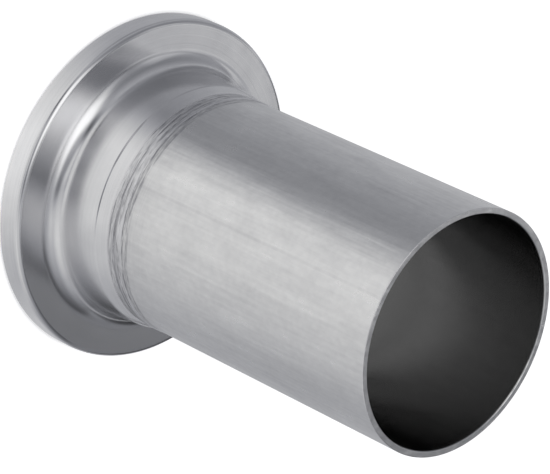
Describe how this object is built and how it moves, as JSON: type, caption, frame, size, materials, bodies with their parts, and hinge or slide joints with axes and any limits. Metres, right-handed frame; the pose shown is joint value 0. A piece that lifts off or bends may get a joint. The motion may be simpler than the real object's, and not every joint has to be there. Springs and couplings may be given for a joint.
{
  "type": "lap joint stub end",
  "caption": "Stainless lap joint stub end: a turned collar with a filleted weld neck, butt-welded to a length of thin-walled pipe, for use with a loose backing flange.",
  "frame": {"origin": "centre of the gasket face, at the bottom of the collar", "axes": "+Z along the bore from the gasket face to the pipe's open end"},
  "size_m": [0.11, 0.11, 0.14],
  "materials": {
    "turned_collar": "turned and pickled",
    "weld_metal": "brushed weld bead",
    "pickled_pipe": "seam-welded and pickled"
  },
  "bodies": {
    "root": {"collar": "turned_collar", "weld_seam": "weld_metal", "pipe": "pickled_pipe"}
  },
  "joints": []
}
